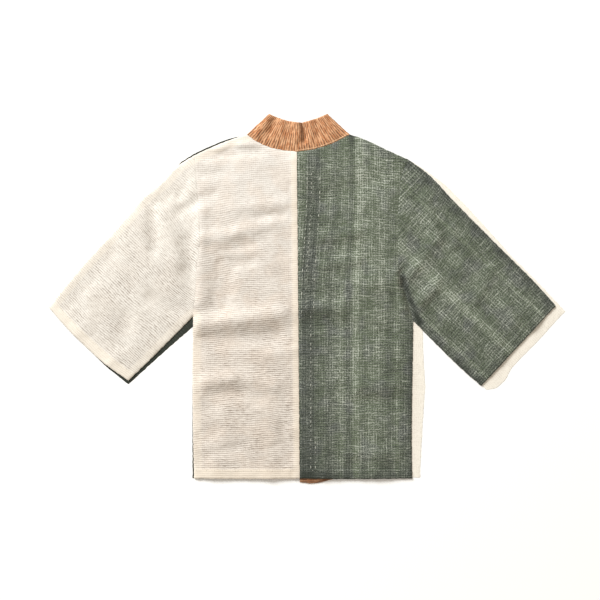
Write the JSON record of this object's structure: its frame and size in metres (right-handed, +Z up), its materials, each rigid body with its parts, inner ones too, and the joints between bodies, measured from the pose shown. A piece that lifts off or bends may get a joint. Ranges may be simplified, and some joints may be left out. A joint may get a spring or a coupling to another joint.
{
  "type": "kimono jacket",
  "caption": "Short kimono jacket of coarse cotton laid flat, back upwards, with cream and dark green halves, straight sleeves and a rust band round the neck and down the fronts.",
  "frame": {"origin": "centre of the jacket's box, on the surface that it lies on", "axes": "+X towards the right sleeve as worn, +Y towards the collar, +Z up out of the surface, away from the back"},
  "size_m": [1.084, 0.7756, 0.0149],
  "materials": {
    "cream_cotton": "matt, coarse ribbed plain weave",
    "green_cotton": "matt, slubby plain weave",
    "rust_cotton": "matt, coarse ribbed plain weave"
  },
  "bodies": {
    "root": {"back_left": "cream_cotton", "back_right": "green_cotton", "front_left": "green_cotton", "front_right": "cream_cotton", "sleeve_left_back": "cream_cotton", "sleeve_left_front": "green_cotton", "sleeve_right_back": "green_cotton", "sleeve_right_front": "cream_cotton", "band_neck": "rust_cotton", "band_left": "rust_cotton", "band_right": "rust_cotton"}
  },
  "joints": []
}
